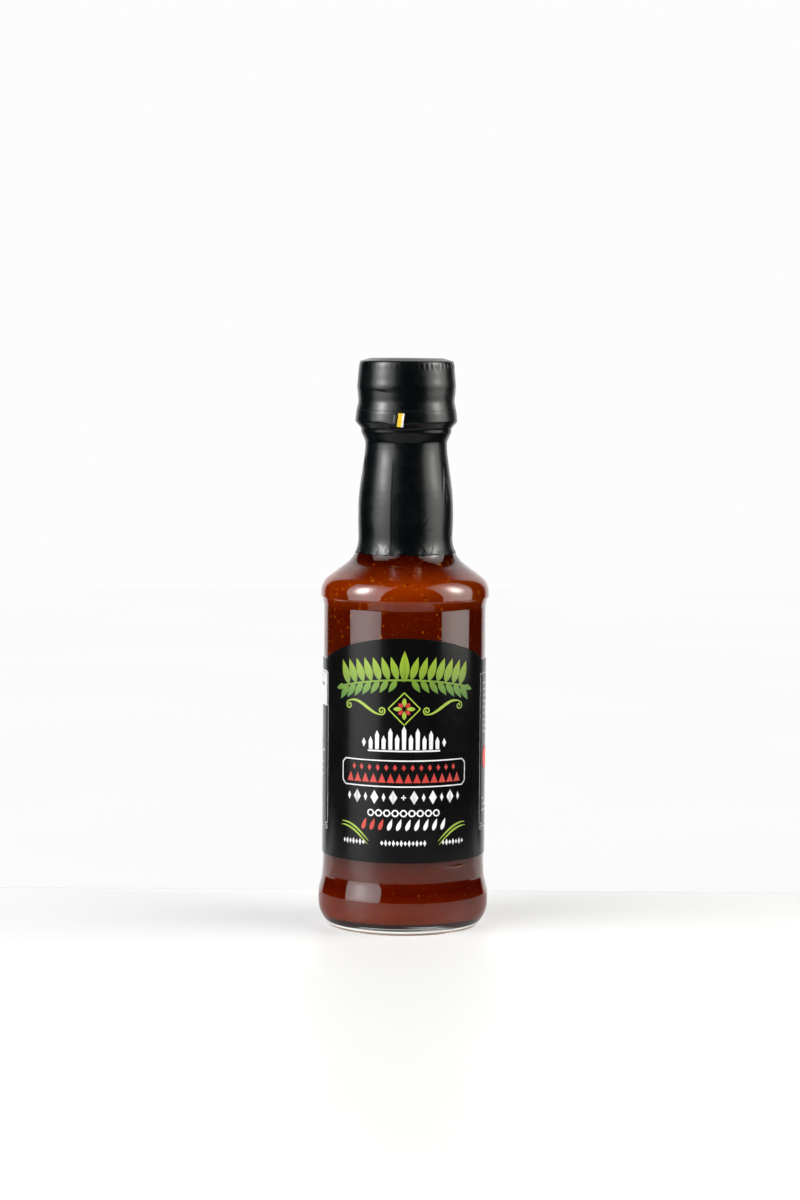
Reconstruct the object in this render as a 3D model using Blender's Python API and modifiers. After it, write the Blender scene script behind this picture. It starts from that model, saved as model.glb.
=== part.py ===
"""Hot sauce bottle: a short glass bottle with a bulged neck, sealed and labelled.

Metres, +Z up. The origin is the centre of the ring that the bottle stands on,
and the label's front faces -Y. Drawing sizes below are in millimetres.
"""

import math

import bmesh
import bpy
from mathutils import Vector

MM = 0.001

# Driving dimensions: body and shoulder
BASE_RADIUS = 24.6
PANEL_RADIUS = 23.4
SHOULDER_RADIUS = 24.3
BEARING_RADIUS = 21.25
BEARING_WIDTH = 2.6
PUNT_DEPTH = 1.9
WALL = 2.3
FLOOR_HEIGHT = 3.4
FLOOR_FILLET = 3.2
SHOULDER_TOP = 101.3
FLANK_RADIUS = 22.2
SHOULDER_SLOPE = math.radians(36.4)

# Driving dimensions: neck and mouth
NECK_RADIUS = 12.9
NECK_FILLET = 9.9
NECK_BULGE_RADIUS = 13.2
NECK_BULGE_TOP = 124.3
NECK_BULGE_BOTTOM = 117.2
NECK_WAIST_RADIUS = 11.25
NECK_WAIST_TOP = 140.2
NECK_WAIST_BOTTOM = 138.1
FINISH_RADIUS = 12.45
BORE_RADIUS = 9.2
MOUTH_HEIGHT = 161.9
FILL_HEIGHT = 122.0

# Driving dimensions: closure and shrink film
CAP_RADIUS = 13.55
CAP_TOP = 163.75
CAP_SKIRT_BOTTOM = 146.75
CAP_LINER_HEIGHT = 162.2
CAP_THREAD_HEIGHT = 156.0
CAP_GROOVE_HEIGHT = 152.3
FILM_TOP = 164.25
FILM_OPENING_RADIUS = 9.4
FILM_HEM_HEIGHT = 108.3
FILM_SKIRT_RADIUS = 14.65
FILM_THICKNESS = 0.25

# Driving dimensions: label and tear tab
LABEL_BOTTOM = 21.3
LABEL_SIDE_TOP = 77.6
LABEL_ARCH_TOP = 85.4
LABEL_ARCH_RADIUS = 61.0
LABEL_THICKNESS = 0.2
LABEL_OPEN_STEPS = 2
TAB_SIZE = (2.3, 0.3, 3.9)
TAB_HEIGHT = 146.5
TAB_ANGLE = math.radians(-6.8)
TAB_LEAN = math.radians(4)

GAP = 0.25
STEPS = 48
ARC_SAG = 0.12
WELD = 1e-5


def arc_between(corner, back, ahead, fillet):
    """Points on the fillet that rounds a corner, from its first tangent point to its last."""
    turn = math.pi - back.angle(ahead)
    reach = fillet * math.tan(turn / 2)
    start = corner + back * reach
    end = corner + ahead * reach
    centre = corner + (back + ahead).normalized() * fillet / math.cos(turn / 2)
    step = 2 * math.acos(1 - ARC_SAG / fillet)
    count = max(1, round(turn / step))
    points = []
    for i in range(count + 1):
        share = i / count
        near = (start - centre) * math.sin((1 - share) * turn)
        far = (end - centre) * math.sin(share * turn)
        points.append(centre + (near + far) / math.sin(turn))
    return points


def rounded(corners):
    """An outline through (radius, height, fillet) corners, with each filleted corner as an arc."""
    outline = [Vector(corners[0][:2])]
    for before, here, after in zip(corners, corners[1:], corners[2:]):
        corner = Vector(here[:2])
        if here[2] == 0:
            outline.append(corner)
            continue
        back = (Vector(before[:2]) - corner).normalized()
        ahead = (Vector(after[:2]) - corner).normalized()
        outline += arc_between(corner, back, ahead, here[2])
    outline.append(Vector(corners[-1][:2]))
    return outline


def cut_at(outline, height):
    """The stretch of an outline that starts at its first point and ends where it crosses a height."""
    kept = [outline[0]]
    for here, after in zip(outline, outline[1:]):
        if (here.y - height) * (after.y - height) < 0:
            return kept + [here.lerp(after, (height - here.y) / (after.y - here.y))]
        kept.append(after)
    return kept


def flank_height(radius, inset=0):
    """Height of the shoulder's straight flank at a radius, or of a line that far inside it."""
    rise = math.tan(SHOULDER_SLOPE)
    return SHOULDER_TOP + (FLANK_RADIUS - radius) * rise - inset / math.cos(SHOULDER_SLOPE)


def make_material(name, colour, roughness, metallic=0.0, transmission=0.0):
    material = bpy.data.materials.new(name)
    material.use_nodes = True
    shader = material.node_tree.nodes["Principled BSDF"]
    shader.inputs["Base Color"].default_value = (*colour, 1.0)
    shader.inputs["Roughness"].default_value = roughness
    shader.inputs["Metallic"].default_value = metallic
    shader.inputs["Transmission Weight"].default_value = transmission
    return material


def add_object(name, mesh, material, collection):
    mesh.materials.append(material)
    thing = bpy.data.objects.new(name, mesh)
    collection.objects.link(thing)
    return thing


def turned(name, outline, material, collection):
    """A body of revolution about Z. The outline runs down its outer side."""
    mesh = bpy.data.meshes.new(name)
    points = [(point.x * MM, 0.0, point.y * MM) for point in outline]
    edges = [(i, i + 1) for i in range(len(points) - 1)]
    mesh.from_pydata(points, edges, [])
    thing = add_object(name, mesh, material, collection)
    screw = thing.modifiers.new("Turn", "SCREW")
    screw.axis = "Z"
    screw.angle = math.tau
    screw.steps = STEPS
    screw.render_steps = STEPS
    screw.use_merge_vertices = True
    screw.merge_threshold = WELD
    return thing


def thicken(thing, thickness, offset):
    """Gives an open surface a wall: offset 1 builds it outwards, -1 inwards."""
    solidify = thing.modifiers.new("Wall", "SOLIDIFY")
    solidify.thickness = thickness * MM
    solidify.offset = offset
    solidify.use_even_offset = True


def outer_glass():
    """The glass from its mouth down to the middle of its underside."""
    return rounded(
        [
            (BORE_RADIUS, MOUTH_HEIGHT, 0),
            (FINISH_RADIUS, MOUTH_HEIGHT, 0.9),
            (FINISH_RADIUS, 142.6, 0.7),
            (NECK_WAIST_RADIUS, NECK_WAIST_TOP, 2.2),
            (NECK_WAIST_RADIUS, NECK_WAIST_BOTTOM, 20),
            (NECK_BULGE_RADIUS, NECK_BULGE_TOP, 60),
            (NECK_BULGE_RADIUS, NECK_BULGE_BOTTOM, 40),
            (NECK_RADIUS, flank_height(NECK_RADIUS), NECK_FILLET),
            (SHOULDER_RADIUS, flank_height(SHOULDER_RADIUS), 5.6),
            (SHOULDER_RADIUS, 95.3, 0.9),
            (PANEL_RADIUS, 93.5, 1.6),
            (PANEL_RADIUS, 20.2, 0),
            (PANEL_RADIUS + 0.3, 13.6, 6),
            (BASE_RADIUS, 10.2, 5),
            (BASE_RADIUS, 2.8, 9),
            (BEARING_RADIUS, 0, 0),
            (BEARING_RADIUS - BEARING_WIDTH, 0, 0),
            (BEARING_RADIUS - 2 * BEARING_WIDTH, PUNT_DEPTH, 2.5),
            (0, PUNT_DEPTH + 0.2, 0),
        ]
    )


def inner_glass(clearance):
    """The inside of the glass from the middle of its floor up to its mouth, drawn in by a clearance."""
    body = PANEL_RADIUS - WALL - clearance
    neck = NECK_RADIUS - WALL - clearance
    bore = BORE_RADIUS - clearance
    inset = WALL + clearance
    return rounded(
        [
            (0, FLOOR_HEIGHT + clearance, 0),
            (body, FLOOR_HEIGHT + clearance, FLOOR_FILLET),
            (body, flank_height(body, inset), 4.5),
            (neck, flank_height(neck, inset), 8),
            (neck, 126.0, 30),
            (bore, 139.0, 30),
            (bore, MOUTH_HEIGHT, 0),
        ]
    )


def make_bottle(collection):
    glass = make_material("clear_glass", (0.93, 0.96, 0.95), 0.03, transmission=1.0)
    outline = inner_glass(0)[:-1] + outer_glass()
    return turned("bottle", outline, glass, collection)


def make_sauce(collection):
    """The sauce fills the glass up to a level in the neck."""
    sauce = make_material("red_brown_sauce", (0.19, 0.012, 0.002), 0.35)
    inside = cut_at(inner_glass(GAP), FILL_HEIGHT)
    return turned("sauce", [Vector((0, FILL_HEIGHT))] + inside[::-1], sauce, collection)


def make_cap(collection):
    """A roll-on cap: a thread band under a plain top band, then a groove and a flared break-away ring."""
    lacquer = make_material("black_lacquer", (0.012, 0.013, 0.014), 0.4)
    inner = FINISH_RADIUS + GAP
    outline = rounded(
        [
            (0, CAP_TOP, 0),
            (FILM_OPENING_RADIUS - 0.9, CAP_TOP, 0),
            (FILM_OPENING_RADIUS, CAP_TOP - 0.55, 0),
            (CAP_RADIUS - 0.55, CAP_TOP - 0.95, 0.6),
            (CAP_RADIUS - 0.25, 160.8, 0),
            (CAP_RADIUS + 0.1, CAP_THREAD_HEIGHT, 0),
            (CAP_RADIUS - 0.2, CAP_GROOVE_HEIGHT, 0),
            (CAP_RADIUS + 0.45, CAP_SKIRT_BOTTOM, 0),
            (inner, CAP_SKIRT_BOTTOM, 0),
            (inner, CAP_LINER_HEIGHT, 0),
            (0, CAP_LINER_HEIGHT, 0),
        ]
    )
    return turned("cap", outline, lacquer, collection)


def make_capsule(collection):
    """Shrink film from a ring on the cap's top, down the skirt and neck, to a hem on the shoulder."""
    film = make_material("black_film", (0.008, 0.009, 0.01), 0.35)
    outside = GAP + FILM_THICKNESS
    neck = NECK_RADIUS + outside
    bulge = NECK_BULGE_RADIUS + outside
    waist = NECK_WAIST_RADIUS + outside
    outline = rounded(
        [
            (FILM_OPENING_RADIUS, FILM_TOP, 0),
            (13.45, 163.3, 0),
            (13.75, 162.3, 0),
            (CAP_RADIUS + 0.63, CAP_THREAD_HEIGHT, 0),
            (CAP_RADIUS + 0.37, CAP_GROOVE_HEIGHT, 0),
            (FILM_SKIRT_RADIUS, 147.0, 0),
            (FILM_SKIRT_RADIUS - 0.1, 146.1, 0),
            (13.1, 144.2, 0),
            (13.0, 142.9, 0),
            (waist, NECK_WAIST_TOP, 2.2),
            (waist, NECK_WAIST_BOTTOM, 20),
            (bulge, NECK_BULGE_TOP, 60),
            (bulge, NECK_BULGE_BOTTOM, 40),
            (neck, flank_height(neck, -outside), NECK_FILLET - outside),
            (FLANK_RADIUS, flank_height(FLANK_RADIUS, -outside), 0),
        ]
    )
    outline = cut_at(outline, FILM_HEM_HEIGHT)
    capsule = turned("capsule", outline, film, collection)
    thicken(capsule, FILM_THICKNESS, -1)
    return capsule


def label_top(arc_length):
    """Height of the label's upper edge at a distance round it from its front: an arch between level sides."""
    if abs(arc_length) >= LABEL_ARCH_RADIUS:
        return LABEL_SIDE_TOP
    drop = LABEL_ARCH_RADIUS - math.sqrt(LABEL_ARCH_RADIUS**2 - arc_length**2)
    return max(LABEL_SIDE_TOP, LABEL_ARCH_TOP - drop)


def make_label(collection):
    """A paper strip round the panel, open at the back, with its columns on the glass's own facets."""
    paper = make_material("black_label", (0.008, 0.008, 0.009), 0.45)
    radius = PANEL_RADIUS + GAP
    step = math.tau / STEPS
    half = (STEPS - LABEL_OPEN_STEPS) // 2
    sheet = bmesh.new()
    columns = []
    for i in range(-half, half + 1):
        x = radius * math.sin(i * step) * MM
        y = -radius * math.cos(i * step) * MM
        top = label_top(radius * i * step)
        columns.append([sheet.verts.new((x, y, z * MM)) for z in (LABEL_BOTTOM, top)])
    for left, right in zip(columns, columns[1:]):
        sheet.faces.new((left[0], right[0], right[1], left[1]))
    mesh = bpy.data.meshes.new("label")
    sheet.to_mesh(mesh)
    sheet.free()
    mesh.shade_smooth()
    label = add_object("label", mesh, paper, collection)
    thicken(label, LABEL_THICKNESS, 1)
    return label


def make_tear_tab(collection):
    """The end of the tear strip, standing clear of the skirt's lower edge."""
    foil = make_material("yellow_tab", (0.9, 0.62, 0.03), 0.4)
    radius = FILM_SKIRT_RADIUS + GAP + TAB_SIZE[1] / 2
    place = (math.sin(TAB_ANGLE) * radius, -math.cos(TAB_ANGLE) * radius, TAB_HEIGHT)
    bpy.ops.mesh.primitive_cube_add(size=1)
    tab = bpy.context.object
    tab.name = "tear_tab"
    tab.data.name = "tear_tab"
    tab.data.transform(tab.matrix_world)
    for corner in tab.data.vertices:
        corner.co = [side * size * MM for side, size in zip(corner.co, TAB_SIZE)]
    tab.location = [value * MM for value in place]
    tab.rotation_euler = (0, TAB_LEAN, TAB_ANGLE)
    tab.data.materials.append(foil)
    for owner in list(tab.users_collection):
        owner.objects.unlink(tab)
    collection.objects.link(tab)
    bevel = tab.modifiers.new("Edges", "BEVEL")
    bevel.width = 0.08 * MM
    bevel.segments = 1
    return tab


def clear_scene():
    for thing in list(bpy.data.objects):
        bpy.data.objects.remove(thing)


def main():
    clear_scene()
    collection = bpy.data.collections.new("hot_sauce_bottle")
    bpy.context.scene.collection.children.link(collection)
    make_bottle(collection)
    make_sauce(collection)
    make_cap(collection)
    make_capsule(collection)
    make_label(collection)
    make_tear_tab(collection)


main()
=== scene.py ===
"""Looks of the hot sauce bottle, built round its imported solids.

The frame is in metres. Sizes below are in millimetres unless a heading says metres, and heights are
above the floor. Angles go round the bottle from its front, positive to the right as the label is seen.
"""

import math
import random

import bmesh
import bpy
import numpy as np
from mathutils import Matrix, Vector


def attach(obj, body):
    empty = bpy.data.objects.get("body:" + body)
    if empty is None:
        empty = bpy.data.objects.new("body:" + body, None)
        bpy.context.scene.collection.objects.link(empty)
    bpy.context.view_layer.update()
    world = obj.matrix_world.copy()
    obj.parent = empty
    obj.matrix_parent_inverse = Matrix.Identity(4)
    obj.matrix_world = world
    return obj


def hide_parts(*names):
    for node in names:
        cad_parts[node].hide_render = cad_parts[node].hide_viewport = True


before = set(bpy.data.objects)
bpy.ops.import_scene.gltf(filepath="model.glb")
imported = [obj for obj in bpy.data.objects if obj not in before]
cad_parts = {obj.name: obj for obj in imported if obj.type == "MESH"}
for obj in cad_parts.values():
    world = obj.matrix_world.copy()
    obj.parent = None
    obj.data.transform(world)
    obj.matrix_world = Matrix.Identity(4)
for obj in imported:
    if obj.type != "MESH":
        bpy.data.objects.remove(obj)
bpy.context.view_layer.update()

MM = 0.001

# How far from a sharp edge the extra points lie that keep the shading flat up to it
GUARD = 0.08

# Glass
BASE_RADIUS = 24.6
PANEL_RADIUS = 23.4
SHOULDER_RADIUS = 24.3
BEARING_RADIUS = 21.25
BEARING_WIDTH = 2.6
PUNT_DEPTH = 1.9
WALL = 2.3
FLOOR_HEIGHT = 3.4
FLOOR_FILLET = 3.2
FLARE_TOP = 14.7
FLARE_BOTTOM = 9.9
HEEL_HEIGHT = 2.8
PANEL_BOTTOM = 20.2
STEP_BOTTOM = 93.0
STEP_TOP = 95.6
SHOULDER_TOP = 101.3
FLANK_RADIUS = 22.2
SHOULDER_SLOPE = math.radians(36.4)
NECK_RADIUS = 13.3
NECK_FILLET = 9.5
BULGE_RADIUS = 13.58
BULGE_TOP = 124.3
BULGE_BOTTOM = 117.2
WAIST_RADIUS = 11.62
WAIST_TOP = 140.3
WAIST_BOTTOM = 138.1
FINISH_RADIUS = 12.45
FINISH_BOTTOM = 142.6
BORE_RADIUS = 9.2
BORE_BOTTOM = 139.0
INNER_NECK_TOP = 126.0
MOUTH_HEIGHT = 161.9
FILL_HEIGHT = 122.0
SAUCE_SINK = 0.05
GLASS_COLUMNS = 240
SAUCE_COLUMNS = 160
ROW_SPACING = 2.0

# Heights of the edge that the glass stands on, painted pale with light, and between which it turns from a
# painted brown shade to white
PAINTED_EDGE = (0.25, 1.4)
PAINTED_EDGE_TURN = (0.7, 0.9)

# Where the sauce's underside mirrors: behind a front, inside a radius, and along a thin arc on the right
MIRROR_FRONT = (-10.0, -9.0)
MIRROR_RADIUS = (14.0, 13.2)
MIRROR_ARC = 14.1
MIRROR_ARC_WIDTH = (0.7, 0.4)

# Cap
CAP_RADIUS = 13.5
CAP_TOP = 163.75
CAP_BOTTOM = 146.9
CAP_THICKNESS = 1.5
CAP_KNURL_HEIGHT = 161.6
CAP_THREAD_HEIGHT = 155.0
CAP_THREAD_PITCH = 3.2
CAP_COLUMNS = 160

# Shrink film
FILM = 0.12
FILM_TOP = 164.22
OPENING_RADIUS = 9.4
SKIRT_RADIUS = 14.72
SKIRT_BOTTOM = 145.95
HEM_HEIGHT = 108.3
FILM_COLUMNS = 384
FILM_ROW = 0.4
KNURLS = 54
KNURL_HEIGHT = 161.9
THREAD_HEIGHT = 155.6
THREAD_PITCH = 3.4
LUMP_ANGLE = math.radians(-26)
LUMP_HEIGHT = 156.4
PERFORATION_HEIGHT = 149.25
PERFORATIONS = 107.0
SEAM_ANGLE = math.radians(-17.8)
SEAM_TOP = 135.0

# Tear tab
TAB_ANGLE = math.radians(-6.2)
TAB_HEIGHT = 146.7
TAB_LENGTH = 3.9
TAB_WIDTH = 1.8
TAB_LEAN = math.radians(6)
FLAP_SIZE = (1.1, 2.6)
FLAP_SHIFT = 1.75

# Label
LABEL_RADIUS = 23.62
LABEL_PAPER = 0.12
LABEL_BOTTOM = 21.3
LABEL_SIDE_TOP = 77.6
LABEL_ARCH_TOP = 85.4
LABEL_ARCH_RADIUS = 61.0
LABEL_CORNER = 2.2
LABEL_OPENING = math.radians(7.5)
LABEL_COLUMNS = 320
LABEL_ROWS = 24
INK_LIFT = 0.03
INK_STEP = 1.0

# Camera
CAMERA_PLACE = (-1.44, -882.2, 167.94)
CAMERA_TILT = math.radians(4.767)
CAMERA_ROLL = 0.0075
LENS = 91.74

# Studio, in metres
AIM_HEIGHT = 0.09
SOFTBOX_DISTANCE = 0.75
SOFTBOX_RISE = math.radians(24)
SOFTBOX_SIZE = (0.80, 1.14)
GLOW_PLACE = (0.5, 0.35)
GLOW_SPREAD = (0.7, 0.5)
CORE_SPREAD = (0.15, 0.16)
FLAG_DISTANCE = 0.20
FLAG_HEIGHTS = (0.0005, 0.062)
FLAG_AZIMUTHS = (math.radians(42), math.radians(118))
TABLE_FRONT = -0.34
TABLE_BACK = 0.051
TABLE_SIDE = 0.165
TABLE_GLOW = 0.24
# Width and glow of the strip of painted shade along the table's back edge
EDGE_SHADE_WIDTH = 0.002
EDGE_SHADE_GLOW = 0.25
SWEEP_SIDE = 0.34
SWEEP_LENGTH = 1.2
SWEEP_HEIGHT = -0.002
NEAR_SWEEP = (0.056, 0.105)
NEAR_SWEEP_SIDE = 0.2
NEAR_SWEEP_HEIGHT = -0.0015

# Brightness of the world: its backdrop, what the glass lets through, its dark part, what the camera sees
BACKDROP_LIGHT = 1.15
GLASS_LIGHT = 0.6
ROOM_LIGHT = 0.006
CAMERA_LIGHT = 0.98

# Parts of a direction between which the backdrop fades at its sides, top and foot, and its glow in glass
BACKDROP_SIDES = (0.76, 0.86)
BACKDROP_TOP = (0.76, 0.88)
BACKDROP_FOOT = (-0.36, -0.26)
GLASS_SIDES = (0.0, 0.6)


def arc_between(corner, back, ahead, fillet, sag):
    """Points on the fillet that rounds a corner, from its first tangent point to its last."""
    turn = math.pi - back.angle(ahead)
    reach = fillet * math.tan(turn / 2)
    start = corner + back * reach
    end = corner + ahead * reach
    centre = corner + (back + ahead).normalized() * fillet / math.cos(turn / 2)
    count = max(2, round(turn / (2 * math.acos(1 - min(sag, fillet / 2) / fillet))))
    points = []
    for i in range(count + 1):
        share = i / count
        near = (start - centre) * math.sin((1 - share) * turn)
        far = (end - centre) * math.sin(share * turn)
        points.append(centre + (near + far) / math.sin(turn))
    return points


def rounded(corners, sag=0.006):
    """An outline through (radius, height, fillet) corners, with each filleted corner as an arc."""
    outline = [Vector(corners[0][:2])]
    for before, here, after in zip(corners, corners[1:], corners[2:]):
        corner = Vector(here[:2])
        if here[2] == 0:
            outline.append(corner)
            continue
        back = (Vector(before[:2]) - corner).normalized()
        ahead = (Vector(after[:2]) - corner).normalized()
        outline += arc_between(corner, back, ahead, here[2], sag)
    outline.append(Vector(corners[-1][:2]))
    return outline


def outline_arrays(outline):
    return np.array([point.x for point in outline]), np.array([point.y for point in outline])


def resampled(outline, spacing):
    """Radii and heights along the outline, with long stretches divided and guarded at their ends."""
    points = [outline[0]]
    for here, after in zip(outline, outline[1:]):
        length = (after - here).length
        parts = max(1, math.ceil(length / spacing))
        shares = [(i + 1) / parts for i in range(parts)]
        if length > 4 * GUARD:
            shares = [GUARD / length] + shares[:-1] + [1 - GUARD / length, 1]
        points += [here.lerp(after, share) for share in shares]
    return outline_arrays(points)


def evenly(outline, spacing):
    """Radii and heights at an even spacing along the outline, whose corners may be cut a little."""
    radii, heights = outline_arrays(outline)
    reach = np.concatenate([[0], np.cumsum(np.hypot(np.diff(radii), np.diff(heights)))])
    places = np.linspace(0, reach[-1], math.ceil(reach[-1] / spacing) + 1)
    return np.interp(places, reach, radii), np.interp(places, reach, heights)


def cut_at(outline, height):
    """The stretch of an outline that starts at its first point and ends where it crosses a height."""
    kept = [outline[0]]
    for here, after in zip(outline, outline[1:]):
        if (here.y - height) * (after.y - height) < 0:
            return kept + [here.lerp(after, (height - here.y) / (after.y - here.y))]
        kept.append(after)
    return kept


def flank_height(radius, inset=0):
    """Height of the shoulder's straight flank at a radius, or of a line that far inside it."""
    rise = math.tan(SHOULDER_SLOPE)
    return SHOULDER_TOP + (FLANK_RADIUS - radius) * rise - inset / math.cos(SHOULDER_SLOPE)


def ripple(angle, height, seed, waves, turns, wavelength):
    """Smooth waviness between about -1 and 1: a sum of waves that close round the bottle."""
    draw = random.Random(seed)
    total = np.zeros(np.broadcast(angle, height).shape)
    for _ in range(waves):
        around = draw.randint(-turns, turns)
        along = math.tau / (wavelength * draw.uniform(0.7, 1.6))
        total += np.sin(around * angle + along * height + draw.uniform(0, math.tau))
    return total / math.sqrt(waves)


def bell(values, centre, width):
    """A bump of height 1 at the centre, which fades out over the width."""
    return np.exp(-(((values - centre) / width) ** 2))


def turn_from(angle, centre):
    """The angle measured from a centre, between minus and plus half a turn."""
    return (angle - centre + math.pi) % math.tau - math.pi


def polar(centre, reach, angle):
    """The point at a reach and an angle from a centre."""
    return (centre[0] + reach * math.cos(angle), centre[1] + reach * math.sin(angle))


def round_bottle(radius, angle, height):
    """Points at radii, angles and heights round the bottle's axis."""
    return np.stack([radius * np.sin(angle), -radius * np.cos(angle), height], axis=-1)


def add_object(name, data):
    thing = bpy.data.objects.new(name, data)
    bpy.context.scene.collection.objects.link(thing)
    return thing


def add_mesh(name, mesh, material):
    mesh.shade_smooth()
    mesh.materials.append(material)
    return add_object(name, mesh)


def grid_mesh(name, points, closed):
    """A mesh on a rows x columns array of points in millimetres, closed round its columns or not."""
    rows, columns = points.shape[:2]
    last = columns if closed else columns - 1
    row, column = np.meshgrid(np.arange(rows - 1), np.arange(last), indexing="ij")
    ahead = (column + 1) % columns
    corners = [row * columns + column, (row + 1) * columns + column]
    corners += [(row + 1) * columns + ahead, row * columns + ahead]
    faces = np.stack(corners, axis=-1).reshape(-1, 4)
    mesh = bpy.data.meshes.new(name)
    mesh.from_pydata((points.reshape(-1, 3) * MM).tolist(), [], faces.tolist())
    return mesh


def merge_poles(mesh):
    """Joins the points of a turned mesh that meet on its axis."""
    shape = bmesh.new()
    shape.from_mesh(mesh)
    on_axis = [vertex for vertex in shape.verts if vertex.co.xy.length < 1e-6]
    bmesh.ops.remove_doubles(shape, verts=on_axis, dist=1e-7)
    shape.to_mesh(mesh)
    shape.free()


def turned(name, radii, heights, columns, material, relief=None):
    """A turned surface. The outline runs down its outer side, and the relief lifts it along its normal."""
    slope_r = np.gradient(radii)
    slope_z = np.gradient(heights)
    length = np.hypot(slope_r, slope_z)
    angle = np.arange(columns)[None, :] * math.tau / columns
    radius = np.repeat(radii[:, None], columns, axis=1)
    height = np.repeat(heights[:, None], columns, axis=1)
    if relief is not None:
        lift, drop = relief(angle, height, radius)
        radius = radius + lift * (-slope_z / length)[:, None]
        height = height + lift * (slope_r / length)[:, None] - drop
    mesh = grid_mesh(name, round_bottle(radius, angle, height), closed=True)
    merge_poles(mesh)
    return add_mesh(name, mesh, material)


class Graph:
    """Nodes being wired, in a material, a lamp or the world."""

    def __init__(self, tree):
        self.nodes = tree.nodes
        self.links = tree.links

    def node(self, kind, **settings):
        made = self.nodes.new(kind)
        for name, value in settings.items():
            setattr(made, name, value)
        return made

    def axes(self, vector):
        """The three parts of a vector."""
        apart = self.node("ShaderNodeSeparateXYZ")
        self.links.new(vector, apart.inputs[0])
        return tuple(apart.outputs)

    def spread(self, value, low, high, to_low=0.0, to_high=1.0, ease="LINEAR"):
        """The value, with the range from low to high laid over another range."""
        made = self.node("ShaderNodeMapRange", interpolation_type=ease)
        for slot, number in zip(range(1, 5), (low, high, to_low, to_high)):
            made.inputs[slot].default_value = number
        self.links.new(value, made.inputs["Value"])
        return made.outputs["Result"]

    def maths(self, operation, *values):
        """The result of an operation on numbers and outputs."""
        made = self.node("ShaderNodeMath", operation=operation)
        for slot, value in enumerate(values):
            if isinstance(value, (int, float)):
                made.inputs[slot].default_value = value
            else:
                self.links.new(value, made.inputs[slot])
        return made.outputs[0]

    def times(self, first, second):
        return self.maths("MULTIPLY", first, second)

    def plus(self, first, second):
        return self.maths("ADD", first, second)

    def length(self, x, y):
        """The length of a level vector."""
        return self.maths("SQRT", self.plus(self.times(x, x), self.times(y, y)))


class Shader(Graph):
    """A material being built round its Principled node."""

    def __init__(self, name):
        self.material = bpy.data.materials.new(name)
        self.material.use_nodes = True
        super().__init__(self.material.node_tree)
        self.principled = self.nodes["Principled BSDF"]
        self.output = self.nodes["Material Output"]
        self.place = self.node("ShaderNodeTexCoord").outputs["Object"]

    def set(self, **values):
        for name, value in values.items():
            self.principled.inputs[name.replace("_", " ")].default_value = value

    def noise(self, scale, detail):
        made = self.node("ShaderNodeTexNoise")
        made.inputs["Scale"].default_value = scale
        made.inputs["Detail"].default_value = detail
        self.links.new(self.place, made.inputs["Vector"])
        return made.outputs["Fac"]

    def cloud(self, scale, detail, to_low=0.0, to_high=1.0):
        """Noise stretched to fill a range."""
        return self.spread(self.noise(scale, detail), 0.3, 0.7, to_low, to_high)

    def voronoi(self, scale):
        made = self.node("ShaderNodeTexVoronoi")
        made.inputs["Scale"].default_value = scale
        self.links.new(self.place, made.inputs["Vector"])
        return made

    def mix(self, factor, first, second):
        made = self.node("ShaderNodeMix", data_type="RGBA")
        self.links.new(factor, made.inputs["Factor"])
        for slot, colour in zip(("A", "B"), (first, second)):
            target = [socket for socket in made.inputs if socket.name == slot and socket.type == "RGBA"][0]
            if isinstance(colour, tuple):
                target.default_value = (*colour, 1.0)
            else:
                self.links.new(colour, target)
        return [socket for socket in made.outputs if socket.type == "RGBA"][0]

    def by_height(self, stops):
        """A colour that changes with height, through (height, colour) stops."""
        height = self.axes(self.place)[2]
        low, high = stops[0][0], stops[-1][0]
        ramp = self.node("ShaderNodeValToRGB")
        while len(ramp.color_ramp.elements) < len(stops):
            ramp.color_ramp.elements.new(0.5)
        for element, (level, colour) in zip(ramp.color_ramp.elements, stops):
            element.position = (level - low) / (high - low)
            element.color = (*colour, 1.0)
        self.links.new(self.spread(height, low * MM, high * MM), ramp.inputs[0])
        return ramp.outputs["Color"]

    def feed(self, value, name):
        self.links.new(value, self.principled.inputs[name])

    def bump(self, value, strength, distance):
        made = self.node("ShaderNodeBump")
        made.inputs["Strength"].default_value = strength
        made.inputs["Distance"].default_value = distance * MM
        self.links.new(value, made.inputs["Height"])
        self.feed(made.outputs["Normal"], "Normal")


def glass_material():
    """Clear glass. Lamps shine through it as through a clear film, so what it holds is lit."""
    shader = Shader("clear_glass")
    shader.set(Base_Color=(0.965, 0.985, 0.975, 1), Roughness=0.0, IOR=1.5, Transmission_Weight=1.0)
    passing = shader.node("ShaderNodeBsdfTransparent")
    passing.inputs["Color"].default_value = (0.93, 0.95, 0.94, 1)
    path = shader.node("ShaderNodeLightPath")
    choice = shader.node("ShaderNodeMixShader")
    shader.links.new(path.outputs["Is Shadow Ray"], choice.inputs[0])
    shader.links.new(shader.principled.outputs[0], choice.inputs[1])
    shader.links.new(passing.outputs[0], choice.inputs[2])
    shader.links.new(choice.outputs[0], shader.output.inputs["Surface"])
    return shader.material


# The sauce's colour at heights, with painted light and shade: paler where its thick glass gathers light, at
# base and shoulder, and a painted shade under the film's hem
SAUCE_PAINTED_LIGHT = [
    (3, (0.200, 0.0163, 0.0003)),
    (8, (0.185, 0.0133, 0.0003)),
    (12, (0.108, 0.0045, 0.0002)),
    (17, (0.148, 0.0111, 0.0002)),
    (92, (0.113, 0.0075, 0.0002)),
    (96, (0.255, 0.0255, 0.0003)),
    (99, (0.335, 0.0400, 0.0004)),
    (102, (0.178, 0.0163, 0.0003)),
    (105, (0.078, 0.0045, 0.0002)),
]

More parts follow.
